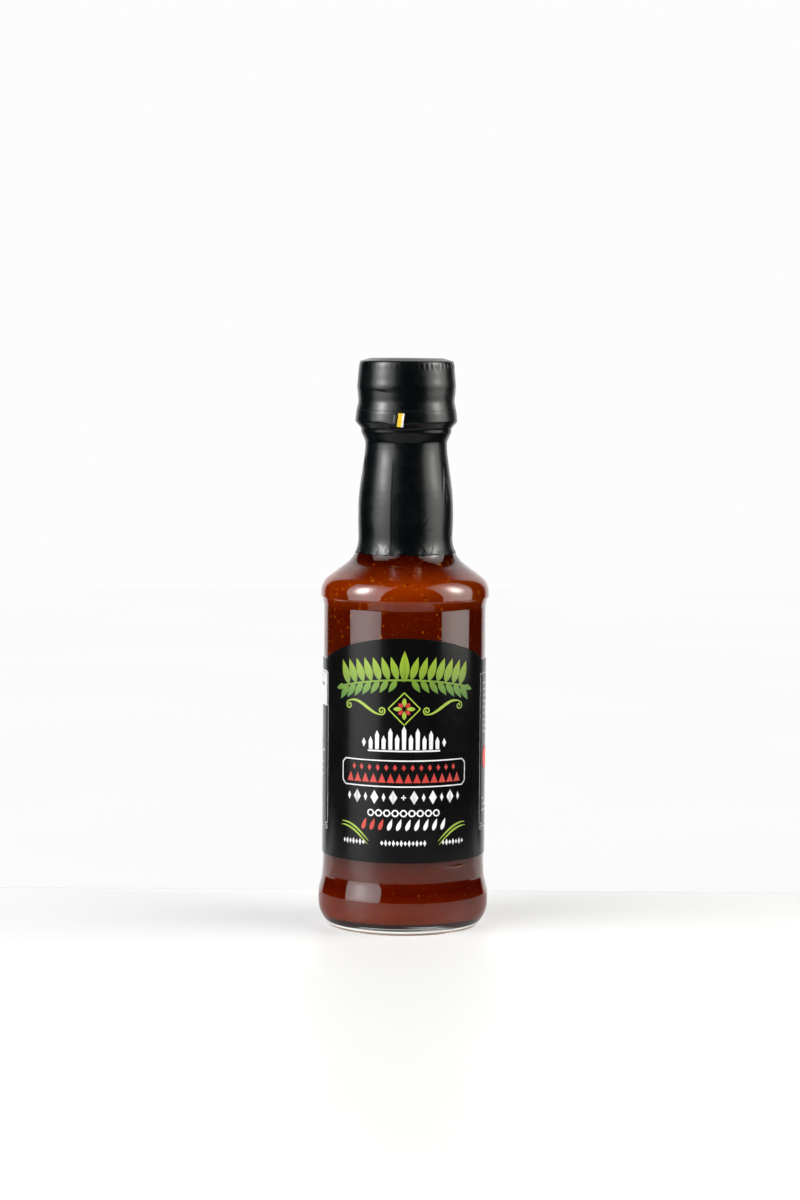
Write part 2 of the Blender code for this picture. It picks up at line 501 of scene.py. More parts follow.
# Specks in the sauce: cells a metre, two shares of cells between which they fade in, size in cells, colour
SPECKS = [
    (650, 0.55, 0.59, 0.25, (0.38, 0.075, 0.001)),
    (1100, 0.53, 0.59, 0.27, (0.20, 0.024, 0.001)),
    (400, 0.67, 0.71, 0.19, (0.46, 0.130, 0.004)),
    (700, 0.70, 0.73, 0.22, (0.008, 0.002, 0.001)),
]

# Heights between which the specks grow from faint to clear, and their shares there
SPECK_HEIGHTS = (18, 88)
SPECK_SHARES = (0.22, 0.9)


def sauce_material():
    """Red-brown sauce with fine orange pulp and a few dark specks. Light and shade are painted into its
    colour by height.
    """
    shader = Shader("red_brown_sauce")
    shader.set(Roughness=0.9, Specular_IOR_Level=0.0)
    shader.set(Subsurface_Weight=1.0, Subsurface_Radius=(1.0, 0.25, 0.05), Subsurface_Scale=0.004)
    # Painted light and shade: the colour is lighter or darker by height
    body = shader.by_height(SAUCE_PAINTED_LIGHT)
    cloudy = shader.spread(shader.noise(160, 3), 0.35, 0.65, 0, 0.16)
    body = shader.mix(cloudy, body, (0.04, 0.0015, 0.0001))
    clear = None
    low, high = SPECK_HEIGHTS
    shown = shader.spread(shader.axes(shader.place)[2], low * MM, high * MM, *SPECK_SHARES)
    for scale, few, many, size, colour in SPECKS:
        cells = shader.voronoi(scale)
        chosen = shader.spread(cells.outputs["Color"], few, many)
        near = shader.spread(cells.outputs["Distance"], size, 0.6 * size)
        speck = shader.times(shader.times(near, chosen), shown)
        body = shader.mix(speck, body, colour)
        rest = shader.spread(speck, 0, 1, 1, 0)
        clear = rest if clear is None else shader.times(clear, rest)
    shader.feed(clear, "Subsurface Weight")
    shader.feed(body, "Base Color")
    return shader.material


def painted_edge_material():
    """The stippled edge that the bottle stands on, with painted light and shade: white for the light that
    the heel carries, brown for the shade next to the table.
    """
    shader = Shader("glass_edge_painted_light_and_shade")
    height = shader.axes(shader.place)[2]
    low, high = PAINTED_EDGE_TURN
    grain = shader.spread(shader.noise(2600, 2), 0.35, 0.65)
    lit = shader.mix(grain, (0.70, 0.74, 0.76), (0.93, 0.91, 0.84))
    above = shader.spread(height, low * MM, high * MM)
    shader.feed(shader.mix(above, (0.30, 0.20, 0.14), lit), "Base Color")
    shader.set(Roughness=0.5, IOR=1.5)
    return shader.material


def sauce_floor_material():
    """The sauce's underside, parts of which mirror, as the glass under it does at a low angle."""
    shader = Shader("sauce_floor")
    x, y, _ = shader.axes(shader.place)
    radius = shader.length(x, y)
    off = shader.maths("ABSOLUTE", shader.maths("SUBTRACT", radius, MIRROR_ARC * MM))
    ring = shader.spread(off, *[width * MM for width in MIRROR_ARC_WIDTH])
    arc = shader.times(ring, shader.spread(x, 0, 2 * MM))
    behind = shader.spread(y, *[place * MM for place in MIRROR_FRONT])
    inside = shader.spread(radius, *[reach * MM for reach in MIRROR_RADIUS])
    mirror = shader.plus(shader.times(behind, inside), arc)
    plain = shader.mix(shader.cloud(300, 3), (0.030, 0.008, 0.006), (0.045, 0.010, 0.007))
    shader.feed(shader.mix(mirror, plain, (0.30, 0.28, 0.28)), "Base Color")
    shader.feed(mirror, "Metallic")
    shader.set(Roughness=0.03, Specular_IOR_Level=0.0)
    return shader.material


def film_material():
    """Black shrink film, satin, with a fine orange-peel skin, rubbed spots and a row of punched dashes."""
    shader = Shader("black_film")
    shader.set(Base_Color=(0.0004, 0.0009, 0.0011, 1), Specular_IOR_Level=0.27)
    rubbed = shader.spread(shader.noise(240, 3), 0.35, 0.7, 0.23, 0.30)
    x, y, z = shader.axes(shader.place)
    round_it = shader.maths("ARCTAN2", x, shader.times(y, -1))
    dashes = shader.spread(shader.maths("SINE", shader.times(round_it, PERFORATIONS)), 0, 0.3)
    off = shader.maths("ABSOLUTE", shader.maths("SUBTRACT", z, PERFORATION_HEIGHT * MM))
    holes = shader.times(dashes, shader.spread(off, 0.16 * MM, 0.08 * MM))
    shader.feed(shader.plus(rubbed, holes), "Roughness")
    shader.bump(shader.noise(1500, 2), 0.06, 0.02)
    return shader.material


def cap_material():
    shader = Shader("black_lacquer")
    shader.set(Base_Color=(0.01, 0.011, 0.012, 1))
    shader.feed(shader.cloud(500, 4, 0.3, 0.45), "Roughness")
    shader.bump(shader.noise(2500, 2), 0.15, 0.02)
    return shader.material


def paper_material():
    """Coated black paper with a faint fibre relief and slow cloudiness."""
    shader = Shader("black_label")
    black = shader.mix(shader.cloud(90, 4), (0.0012, 0.0012, 0.0014), (0.0022, 0.0022, 0.0024))
    shader.feed(black, "Base Color")
    shader.feed(shader.cloud(400, 3, 0.17, 0.23), "Roughness")
    shader.set(Specular_IOR_Level=0.16)
    shader.bump(shader.noise(2600, 3), 0.2, 0.02)
    return shader.material


def ink_material(name, low, high, from_height=0.0, to_height=1.0):
    """Printed ink, whose colour runs from low to high between two heights, slightly mottled."""
    shader = Shader(name)
    blend = shader.spread(shader.axes(shader.place)[2], from_height * MM, to_height * MM)
    colour = shader.mix(blend, low, high)
    darker = tuple(0.86 * (a + b) / 2 for a, b in zip(low, high))
    faint = shader.spread(shader.cloud(1800, 2), 0, 1, 0, 0.15)
    shader.feed(shader.mix(faint, colour, darker), "Base Color")
    shader.set(Roughness=0.42)
    return shader.material


def foil_material():
    """The tear strip's end: yellow, with a white edge on its right."""
    shader = Shader("yellow_foil")
    across = shader.axes(shader.node("ShaderNodeUVMap").outputs["UV"])[0]
    edge = shader.plus(across, shader.cloud(1600, 2, -0.09, 0.09))
    white = shader.spread(edge, 0.66, 0.70)
    shader.feed(shader.mix(white, (1.0, 0.62, 0.002), (0.95, 0.93, 0.92)), "Base Color")
    shader.set(Roughness=0.35)
    return shader.material


def table_material():
    """White board with a faint glow. It is darker where it is mirrored in the bottle."""
    shader = Shader("white_table")
    pale = shader.mix(shader.cloud(6, 3), (0.575, 0.575, 0.58), (0.60, 0.60, 0.605))
    mirrored_in = shader.node("ShaderNodeLightPath").outputs["Is Glossy Ray"]
    shader.feed(shader.mix(mirrored_in, pale, (0.56, 0.56, 0.56)), "Base Color")
    shader.feed(shader.spread(mirrored_in, 0, 1, TABLE_GLOW, 0), "Emission Strength")
    shader.set(Roughness=0.5, Specular_IOR_Level=0.35, Emission_Color=(1, 1, 1, 1))
    return shader.material


def edge_shade_material():
    """A strip along the table's back edge with painted shade: slightly darker than its top, for the shadow
    that the edge casts on the backdrop below.
    """
    shader = Shader("table_edge_shade")
    shader.set(Base_Color=(0.55, 0.55, 0.55, 1), Roughness=0.6)
    shader.set(Emission_Color=(1, 1, 1, 1), Emission_Strength=EDGE_SHADE_GLOW)
    return shader.material


def sweep_material():
    """Backlit white paper."""
    shader = Shader("backdrop_paper")
    white = shader.mix(shader.cloud(5, 2), (0.955, 0.955, 0.955), (0.975, 0.975, 0.975))
    shader.feed(white, "Emission Color")
    shader.set(Base_Color=(0, 0, 0, 1), Roughness=1.0, Specular_IOR_Level=0.0, Emission_Strength=1.0)
    return shader.material


def flag_material():
    """A matt black card that keeps one lamp out of the glass near the base."""
    shader = Shader("black_card")
    shader.set(Base_Color=(0.01, 0.01, 0.01, 1), Roughness=1.0, Specular_IOR_Level=0.0)
    return shader.material


def outer_glass():
    """The glass from its mouth down to the middle of its underside."""
    corners = [
        (BORE_RADIUS, MOUTH_HEIGHT, 0),
        (FINISH_RADIUS, MOUTH_HEIGHT, 0.9),
        (FINISH_RADIUS, FINISH_BOTTOM, 0.7),
        (WAIST_RADIUS, WAIST_TOP, 2.2),
        (WAIST_RADIUS, WAIST_BOTTOM, 20),
        (BULGE_RADIUS, BULGE_TOP, 60),
        (BULGE_RADIUS, BULGE_BOTTOM, 40),
        (NECK_RADIUS, flank_height(NECK_RADIUS), NECK_FILLET),
        (SHOULDER_RADIUS, flank_height(SHOULDER_RADIUS), 5.6),
        (SHOULDER_RADIUS, STEP_TOP, 0.45),
        (PANEL_RADIUS + 0.5, STEP_TOP - 0.3, 0.25),
        (PANEL_RADIUS, STEP_BOTTOM, 1.2),
        (PANEL_RADIUS, PANEL_BOTTOM, 0),
        (PANEL_RADIUS + 0.12, FLARE_TOP, 6),
        (BASE_RADIUS, FLARE_BOTTOM, 6),
        (BASE_RADIUS, HEEL_HEIGHT, 9),
        (BEARING_RADIUS, 0, 0.8),
        (BEARING_RADIUS - BEARING_WIDTH, 0, 0.8),
        (BEARING_RADIUS - 2 * BEARING_WIDTH, PUNT_DEPTH, 2.5),
        (0, PUNT_DEPTH + 0.2, 0),
    ]
    return rounded(corners)


def inner_glass(sink):
    """The inside of the glass from the middle of its floor up to its mouth, sunk a little into the wall."""
    body = PANEL_RADIUS - WALL + sink
    neck = NECK_RADIUS - WALL + sink
    bore = BORE_RADIUS + sink
    inset = WALL - sink
    corners = [
        (0, FLOOR_HEIGHT - sink, 0),
        (body, FLOOR_HEIGHT - sink, FLOOR_FILLET),
        (body, flank_height(body, inset), 4.5),
        (neck, flank_height(neck, inset), 8),
        (neck, INNER_NECK_TOP, 30),
        (bore, BORE_BOTTOM, 30),
        (bore, MOUTH_HEIGHT, 0),
    ]
    return rounded(corners)


def glass_relief(angle, height, radius):
    """Blown glass isn't quite true: slow waves on its wide outer side, and none where it stands."""
    outside = radius > PANEL_RADIUS - WALL + 0.7
    clear_of_base = np.clip((height - 3.0) / 6.0, 0, 1)
    waves = 0.008 * ripple(angle, height, 3, 7, 7, 17) + 0.0016 * ripple(angle, height, 4, 8, 26, 5)
    return waves * outside * clear_of_base, 0


def make_bottle():
    """The glass, whose lowest outer edge has its own material, with painted light and shade."""
    radii, heights = resampled(inner_glass(0)[:-1] + outer_glass(), ROW_SPACING)
    bottle = turned("bottle_glass", radii, heights, GLASS_COLUMNS, glass_material(), glass_relief)
    bottle.data.materials.append(painted_edge_material())
    low, high = [level * MM for level in PAINTED_EDGE]
    inner = (BEARING_RADIUS - 0.2) * MM
    for face in bottle.data.polygons:
        if low < face.center.z < high and face.center.xy.length > inner:
            face.material_index = 1
    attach(bottle, "root")
    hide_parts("bottle")


def make_sauce():
    """The sauce reaches just into the glass, so that no air gap shows between them."""
    inside = cut_at(inner_glass(SAUCE_SINK), FILL_HEIGHT)[::-1]
    rim = inside[0]
    meniscus = [Vector((0, FILL_HEIGHT - 0.6)), Vector((rim.x - 1.6, FILL_HEIGHT - 0.55)), rim]
    radii, heights = resampled(meniscus + inside[1:], ROW_SPACING)
    sauce = turned("sauce_fill", radii, heights, SAUCE_COLUMNS, sauce_material())
    sauce.data.materials.append(sauce_floor_material())
    for face in sauce.data.polygons:
        if face.center.z < (FLOOR_HEIGHT + 0.35) * MM:
            face.material_index = 1
    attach(sauce, "root")
    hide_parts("sauce")


def cap_relief(angle, height, radius):
    """Fine knurls round the cap's upper edge and its rolled thread."""
    side = radius > CAP_RADIUS - 1
    knurls = 0.12 * np.cos(KNURLS * angle) * bell(height, CAP_KNURL_HEIGHT, 0.9)
    groove = np.cos(angle + math.tau * height / CAP_THREAD_PITCH)
    return (knurls + 0.15 * groove * bell(height, CAP_THREAD_HEIGHT, 4)) * side, 0


def make_cap():
    """A cup over the bottle's mouth, with a shallow dish in its top."""
    inner = FINISH_RADIUS + 0.2
    corners = [
        (0, CAP_TOP - 0.15, 0),
        (6.2, CAP_TOP - 0.15, 1.0),
        (6.7, CAP_TOP - 0.02, 0.8),
        (8.4, CAP_TOP - 0.02, 0.8),
        (CAP_RADIUS - 0.5, CAP_TOP - 0.95, 0.5),
        (CAP_RADIUS - 0.25, 160.8, 0.5),
        (CAP_RADIUS, 156.0, 2),
        (CAP_RADIUS - 0.2, 152.3, 2),
        (CAP_RADIUS + 0.35, CAP_BOTTOM, 0),
        (inner, CAP_BOTTOM, 0),
        (inner, CAP_TOP - CAP_THICKNESS, 0),
        (0, CAP_TOP - CAP_THICKNESS, 0),
    ]
    outline = rounded(corners, sag=0.02)
    radii, heights = resampled(outline, 0.8)
    cap = turned("cap_shell", radii, heights, CAP_COLUMNS, cap_material(), cap_relief)
    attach(cap, "root")
    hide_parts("cap")


def film_outline():
    """The film's outer side from the ring on the cap's top to its hem on the shoulder."""
    neck = NECK_RADIUS + FILM
    waist = WAIST_RADIUS + FILM
    bulge = BULGE_RADIUS + FILM
    corners = [
        (OPENING_RADIUS, FILM_TOP - 0.35, 0),
        (OPENING_RADIUS + 0.1, FILM_TOP, 0.25),
        (OPENING_RADIUS + 1.2, FILM_TOP - 0.02, 1.0),
        (13.42, 163.32, 0.16),
        (13.68, 162.4, 1.2),
        (14.25, 156.2, 5),
        (13.82, 151.9, 3),
        (14.5, 148.6, 5),
        (SKIRT_RADIUS, SKIRT_BOTTOM, 0.35),
        (13.05, 144.15, 0.7),
        (12.95, 142.9, 0.7),
        (waist, WAIST_TOP, 2.2),
        (waist, WAIST_BOTTOM, 20),
        (bulge, BULGE_TOP, 60),
        (bulge, BULGE_BOTTOM, 40),
        (neck, flank_height(neck, -FILM), NECK_FILLET - FILM),
        (FLANK_RADIUS, flank_height(FLANK_RADIUS, -FILM), 0),
    ]
    outline = rounded(corners, sag=0.01)
    return cut_at(outline, HEM_HEIGHT)


# Creases that stand in the film: angle (degrees), height, length, slant (degrees), depth
CREASES = [
    (58, 129.0, 7.0, 78, 0.08),
    (66, 128.0, 6.5, 104, 0.07),
    (61, 124.5, 4.0, 92, 0.05),
    (27, 117.6, 3.2, 35, 0.08),
    (33, 116.2, 3.0, 28, 0.08),
    (72, 113.5, 3.4, 55, 0.12),
    (-33, 110.4, 3.0, 150, 0.035),
    (-24, 110.2, 2.2, 60, 0.025),
    (-20, 109.8, 2.0, 118, 0.025),
    (24, 109.8, 2.4, 125, 0.05),
    (35, 110.0, 2.6, 62, 0.06),
    (-30, 155.3, 4.0, 172, 0.07),
    (118, 131.0, 8.0, 82, 0.15),
    (152, 119.0, 6.0, 70, 0.12),
    (-131, 127.0, 9.0, 95, 0.15),
    (-96, 112.5, 4.0, 60, 0.12),
    (-165, 137.0, 5.0, 74, 0.10),
    (-74, 134.5, 4.5, 100, 0.10),
    (100, 153.0, 3.5, 20, 0.12),
    (-118, 155.0, 4.0, 160, 0.12),
    (171, 151.0, 3.0, 30, 0.10),
]


def creases(angle, height, radius):
    """Small folds left by shrinking: a ridge with a valley beside it."""
    total = np.zeros(height.shape)
    for degrees, level, length, slant, depth in CREASES:
        across = turn_from(angle, math.radians(degrees)) * radius
        up = height - level
        lean = math.radians(slant)
        along = across * math.cos(lean) + up * math.sin(lean)
        beside = -across * math.sin(lean) + up * math.cos(lean)
        reach = bell(along, 0, length / 2)
        total += depth * reach * (bell(beside, 0, 0.32) - 0.8 * bell(beside, 0.55, 0.35))
    return total


def cap_marks(angle, height, side):
    """What presses through the film from the cap: knurls, thread and a lump. It also has a punched line."""
    strength = 0.1 + 0.9 / (1 + np.exp(-(turn_from(angle, math.radians(-80)) - 1.55) / 0.12))
    knurls = 0.05 * np.cos(KNURLS * angle) * bell(height, KNURL_HEIGHT, 0.75) * strength * side
    groove = np.cos(angle - math.tau * height / THREAD_PITCH)
    thread = 0.022 * groove * bell(height, THREAD_HEIGHT, 3.6) * side
    lump = 0.07 * bell(turn_from(angle, LUMP_ANGLE), 0, 0.35) * bell(height, LUMP_HEIGHT, 1.3)
    perforation = -0.02 * bell(height, PERFORATION_HEIGHT, 0.3) * side
    return knurls + thread + lump + perforation


def neck_seam(angle, height, radius):
    """The film's overlap down the neck: a step with a hollow beside it."""
    beside = turn_from(angle, SEAM_ANGLE) * radius
    on_neck = 1 / (1 + np.exp((height - SEAM_TOP) * 1.2))
    step = 0.05 / (1 + np.exp(beside / 0.1)) * np.clip(1 + beside / 9, 0, 1)
    return (step - 0.05 * np.interp(beside, [0, 1.3, 8], [0, 1, 0])) * on_neck


def film_relief(angle, height, radius):
    """How far the film stands out, and how far its hem and its lower edge on the cap wander."""
    slow = 0.03 * ripple(angle, height, 11, 8, 5, 16)
    skin = 0.0015 * ripple(angle, height, 12, 10, 34, 2.6)
    marks = cap_marks(angle, height, radius > 12.0) + neck_seam(angle, height, radius)
    hem = np.clip((HEM_HEIGHT + 1.6 - height) / 1.6, 0, 1)
    frill = 0.035 * ripple(angle, height, 21, 9, 60, 9) + 0.05 * ripple(angle, height, 22, 5, 16, 9)
    lift = slow + skin + marks + creases(angle, height, radius)
    lift = lift + np.maximum(hem * frill, -0.03) + 0.03 * hem
    wander = hem * (0.16 * ripple(angle, 0, 31, 5, 9, 9) + 0.07 * ripple(angle, 0, 32, 6, 40, 9))
    dip = 0.95 * bell(turn_from(angle, math.radians(-12)), 0, 0.18) + 0.15 * ripple(angle, 0, 33, 4, 6, 9)
    return lift, wander + dip * bell(height, SKIRT_BOTTOM, 1.1)


def make_capsule():
    """The film, whose hem is turned in to show a thickness."""
    radii, heights = evenly(film_outline(), FILM_ROW)
    turned_in = FILM * 0.9
    radii = np.concatenate([radii, radii[-1:] - turned_in * 0.4, radii[-3:-2] - turned_in])
    heights = np.concatenate([heights, heights[-1:] - turned_in, heights[-3:-2] - turned_in])
    capsule = turned("capsule_film", radii, heights, FILM_COLUMNS, film_material(), film_relief)
    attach(capsule, "root")
    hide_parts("capsule")


def curved_patch(name, angle, height, size, lean, curl, radius, material):
    """A small thin strip on the skirt. It leans, and its curl is how far it stands off at each point."""
    columns, rows = 9, 17
    across, up = np.meshgrid(np.linspace(-0.5, 0.5, columns), np.linspace(0.5, -0.5, rows))
    side = across * size[0] + up * size[1] * math.tan(lean)
    level = height + up * size[1] - 0.12 * across
    points = round_bottle(radius + curl(across, up), angle + side / radius, level)
    mesh = grid_mesh(name, points, closed=False)
    layer = mesh.uv_layers.new(name="UVMap")
    flat = np.stack([across + 0.5, up + 0.5], axis=-1).reshape(-1, 2)
    for loop in mesh.loops:
        layer.data[loop.index].uv = flat[loop.vertex_index]
    patch = add_mesh(name, mesh, material)
    wall = patch.modifiers.new("Wall", "SOLIDIFY")
    wall.thickness = 0.1 * MM
    wall.offset = 1
    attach(patch, "root")
    return patch


def make_tear_tab():
    """The end of the tear strip sticks out of the skirt, beside the small flap that it came from."""
    radius = SKIRT_RADIUS + 0.12

    def tab_curl(across, up):
        return 0.25 * (0.5 - up) ** 2 + 0.10 * np.cos(5 * up) + 0.25 * (across + 0.5) ** 2

    def flap_curl(across, up):
        return 0.02 + 0.5 * (across + 0.5) ** 2

    size = (TAB_WIDTH, TAB_LENGTH)
    foil = foil_material()
    tab = curved_patch("tear_tab_end", TAB_ANGLE, TAB_HEIGHT, size, TAB_LEAN, tab_curl, radius, foil)
    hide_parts("tear_tab")
    beside = TAB_ANGLE - FLAP_SHIFT / radius
    height = TAB_HEIGHT + 0.2
    film = film_material()
    flap = curved_patch("film_flap", beside, height, FLAP_SIZE, TAB_LEAN, flap_curl, radius - 0.1, film)


def label_top(reach):
    """Height of the label's upper edge, by the distance from its front: an arch between level sides."""
    reach = abs(reach)
    start = math.sqrt(LABEL_ARCH_RADIUS**2 - (LABEL_ARCH_RADIUS - LABEL_ARCH_TOP + LABEL_SIDE_TOP) ** 2)
    if reach < start:
        arch = LABEL_ARCH_TOP - LABEL_ARCH_RADIUS + math.sqrt(LABEL_ARCH_RADIUS**2 - reach**2)
    else:
        arch = LABEL_SIDE_TOP
    near = max(0.0, 1 - abs(reach - start) / LABEL_CORNER)
    return arch + 0.28 * near**2


def make_label():
    """A paper strip glued round the panel, open at the back."""
    outer = np.linspace(-math.pi + LABEL_OPENING, math.pi - LABEL_OPENING, LABEL_COLUMNS + 1)
    tops = np.array([label_top(angle * LABEL_RADIUS) for angle in outer])
    guard = GUARD / (LABEL_ARCH_TOP - LABEL_BOTTOM)
    share = np.concatenate([[1], np.linspace(1 - guard, guard, LABEL_ROWS - 1), [0]])[:, None]
    height = LABEL_BOTTOM + share * (tops - LABEL_BOTTOM)[None, :]
    angle = np.repeat(outer[None, :], LABEL_ROWS + 1, axis=0)
    radius = LABEL_RADIUS + 0.008 * ripple(angle, height, 51, 8, 9, 21)
    mesh = grid_mesh("label_paper", round_bottle(radius, angle, height), closed=False)
    label = add_mesh("label_paper", mesh, paper_material())
    wall = label.modifiers.new("Wall", "SOLIDIFY")
    wall.thickness = LABEL_PAPER * MM
    wall.offset = -1
    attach(label, "root")
    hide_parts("label")


class Ink:
    """Flat shapes of one colour on the label, in millimetres round it and up it."""

    def __init__(self, name, material):
        self.name = name
        self.material = material
        self.faces = []

    def shape(self, points):
        self.faces.append([tuple(point) for point in points])

    def stroke(self, points, width, taper=None):
        """A line of a width through the points. The taper gives its width's share along it."""
        points = [Vector(point) for point in points]
        last = len(points) - 1
        sides = []
        for i, point in enumerate(points):
            ahead = points[min(i + 1, last)] - points[max(i - 1, 0)]
            across = Vector((-ahead.y, ahead.x)).normalized()
            half = width / 2 * (taper(i / last) if taper else 1)
            sides.append((point + across * half, point - across * half))
        for before, after in zip(sides, sides[1:]):
            self.shape([before[0], before[1], after[1], after[0]])

    def line(self, start, end, width):
        """A straight line, in two halves."""
        self.stroke([start, Vector(start).lerp(Vector(end), 0.5), end], width)

    def curl(self, at, centre, radius, start, turns, width):
        """A line that winds in round a centre."""
        points = []
        for share in np.linspace(0, 1, 27):
            points.append(at(*polar(centre, radius * (1 - 0.82 * share), start + turns * math.tau * share)))
        self.stroke(points, width)

    def dot(self, place, radius, count=14):
        self.shape([polar(place, radius, math.tau * i / count) for i in range(count)])

    def lozenge(self, place, size):
        (x, y), (wide, tall) = place, size
        self.shape([(x + wide / 2, y), (x, y + tall / 2), (x - wide / 2, y), (x, y - tall / 2)])

    def leaf(self, root, tip, width, belly=0.42):
        """A pointed oval from its root to its tip, widest at the belly."""
        root, tip = Vector(root), Vector(tip)
        along = tip - root
        across = Vector((-along.y, along.x)).normalized() * width / 2
        power = math.log(0.5) / math.log(belly)
        steps = 7
        edge = [(i / steps, math.sin(math.pi * (i / steps) ** power)) for i in range(steps + 1)]
        left = [root + along * share + across * swell for share, swell in edge]
        right = [root + along * share - across * swell for share, swell in edge[1:-1]]
        self.shape(left + right[::-1])

    def build(self, lift=INK_LIFT):
        """Cuts the shapes into narrow columns and wraps them round the label."""
        shape = bmesh.new()
        for points in self.faces:
            shape.faces.new([shape.verts.new((x, y, 0)) for x, y in points])
        reach = max(abs(vertex.co.x) for vertex in shape.verts)
        cuts = math.ceil(reach / INK_STEP)
        for i in range(-cuts, cuts + 1):
            everything = shape.verts[:] + shape.edges[:] + shape.faces[:]
            bmesh.ops.bisect_plane(shape, geom=everything, plane_co=(i * INK_STEP, 0, 0), plane_no=(1, 0, 0))
        bmesh.ops.triangulate(shape, faces=shape.faces[:])
        radius = LABEL_RADIUS + lift
        for vertex in shape.verts:
            angle = vertex.co.x / radius
            vertex.co = Vector((radius * math.sin(angle), -radius * math.cos(angle), vertex.co.y)) * MM
        bmesh.ops.recalc_face_normals(shape, faces=shape.faces[:])
        for face in shape.faces:
            middle = face.calc_center_median()
            if face.normal.x * middle.x + face.normal.y * middle.y < 0:
                face.normal_flip()
        mesh = bpy.data.meshes.new(self.name)
        shape.to_mesh(mesh)
        shape.free()
        thing = add_mesh(self.name, mesh, self.material)
        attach(thing, "root")


def mirrored(draw):
    """Draws on the right and, mirrored, on the left."""
    for side in (1, -1):
        draw(lambda x, y, side=side: (side * x, y))


def stem_height(x):
    """The garland's stem: an arch that sinks to both ends."""
    return 73.6 - 0.0062 * x * x


def draw_garland(green):
    """Leaves in pairs along an arched stem, larger towards its ends, round an upright middle leaf."""

    def half(at):
        stem = [at(x, stem_height(x)) for x in np.linspace(0, 19.4, 24)]
        green.stroke(stem, 0.55)
        for i in range(7):
            x = 1.9 + 2.55 * i
            y = stem_height(x)
            grow = 1 + 0.045 * i
            green.leaf(at(x, y), at(x + 2.0 * grow, y + 6.6 * grow - 0.25 * i), 2.1 * grow)
            green.leaf(at(x + 0.3, y), at(x + 2.6 * grow, y - 3.5 * grow), 1.7 * grow)
        green.leaf(at(19.0, stem_height(19.0)), at(22.4, 70.2), 1.6)

    mirrored(half)
    green.leaf((0, 73.0), (0, 82.0), 2.9)


def draw_scrolls(lime):
    """A wave with a curl at each end, either side of the rosette."""

    def half(at):
        wave = []
        for x in np.linspace(6.4, 17.2, 22):
            wave.append((x, 65.6 - 1.9 * math.cos((x - 6.4) / 11.2 * math.pi * 1.25)))
        lime.stroke([at(x, y) for x, y in wave], 0.62, lambda t: 0.45 + 0.9 * math.sin(math.pi * t))
        lime.curl(at, (wave[-1][0] - 0.2, wave[-1][1] - 1.15), 1.2, math.pi / 2, -1.4, 0.38)
        lime.curl(at, (wave[0][0] + 0.1, wave[0][1] + 1.15), 1.15, -math.pi / 2, -1.4, 0.38)

    mirrored(half)


def draw_rosette(lime, red):
    """A flower of eight petals in a lozenge."""
    level, reach = 65.4, 4.6
    corners = [(reach, level), (0, level + reach), (-reach, level), (0, level - reach), (reach, level)]
    for start, end in zip(corners, corners[1:]):
        lime.line(start, end, 0.34)
    for i in range(8):
        angle = math.tau * i / 8
        ink = red if i % 2 else lime
        length = 2.3 if i % 2 else 3.2
        ink.leaf(polar((0, level), 0.5, angle), polar((0, level), length, angle), 1.25, belly=0.55)


def draw_pickets(white):
    """A row of tall pointed bars on a base line, the middle ones tallest."""
    for i in range(-5, 6):
        x = 1.95 * i
        top = 60.6 - 0.34 * abs(i) if i % 2 == 0 else 58.4 - 0.2 * abs(i)
        neck = top - 1.3
        white.shape([(x - 0.55, 53.8), (x + 0.55, 53.8), (x + 0.62, neck), (x, top), (x - 0.62, neck)])
    white.line((-10.6, 53.35), (10.6, 53.35), 0.45)
    for x in (-11.9, 11.9):
        white.lozenge((x, 55.6), (1.3, 2.6))


def draw_frame(white, red):
    """A thin frame with cut corners round a row of red triangles and one of red lozenges."""
    right, low, high, cut = 19.4, 43.2, 50.6, 1.1
    corners = [
        (-right + cut, low), (right - cut, low), (right, low + cut), (right, high - cut),
        (right - cut, high), (-right + cut, high), (-right, high - cut), (-right, low + cut),
    ]
    for start, end in zip(corners, corners[1:] + corners[:1]):
        white.line(start, end, 0.36)
    count = 14
    pitch = 2 * (right - 1.8) / count
    for i in range(count):
        x = -right + 1.8 + pitch * (i + 0.5)
        red.shape([(x - pitch / 2 + 0.12, 44.3), (x + pitch / 2 - 0.12, 44.3), (x, 47.0)])
    for i in range(-6, 7):
        red.lozenge((i * pitch, 48.6), (1.25, 1.9))


def draw_chain(white):
    """Lozenges in a chain either side of a small cross."""

    def half(at):
        for i in range(6):
            white.lozenge(at(3.0 + 2.75 * i, 40.1), (1.1, 2.4) if i % 2 else (2.4, 4.0))

    mirrored(half)
    white.line((0, 39.4), (0, 40.8), 0.3)
    white.line((-0.7, 40.1), (0.7, 40.1), 0.3)


def draw_rings(white):
    """A row of small rings with dots between them."""
    level = 35.6
    for i in range(-4, 5):
        x = 2.4 * i
        white.stroke([polar((x, level), 0.85, turn) for turn in np.linspace(0, math.tau, 15)], 0.42)
        if i < 4:
            white.dot((x + 1.2, level), 0.18)


def draw_heat_row(white, red):
    """Ten leaning drops, the first three red."""
    for i in range(10):
        x = -11.7 + 2.6 * i
        ink = red if i < 3 else white
        ink.leaf((x - 0.55, 30.6), (x + 0.7, 34.0), 1.25, belly=0.36)


def draw_swooshes(lime):
    """Two tapered strokes on each side, sweeping under the row of drops."""

    def half(at):
        for top, start in ((32.4, 19.6), (31.4, 19.9)):
            sweep = []
            for share in np.linspace(0, 1, 18):
                fall = 4.2 * share**1.25 - 1.1 * math.sin(math.pi * share) + 0.8 * share
                sweep.append(at(start - share * 9.4, top - fall))
            lime.stroke(sweep, 0.5, lambda t: 0.25 + 0.9 * math.sin(math.pi * min(1, t * 1.02)) ** 0.8)

    mirrored(half)


def draw_small_marks(white):
    """Three groups of small upright lozenges along the lower edge."""
    for middle, count in ((-15.2, 7), (0.0, 12), (15.2, 7)):
        for i in range(count):
            x = middle + 1.12 * (i - (count - 1) / 2)
            white.lozenge((x, 27.0), (0.9, 1.9 if i % 2 else 1.4))


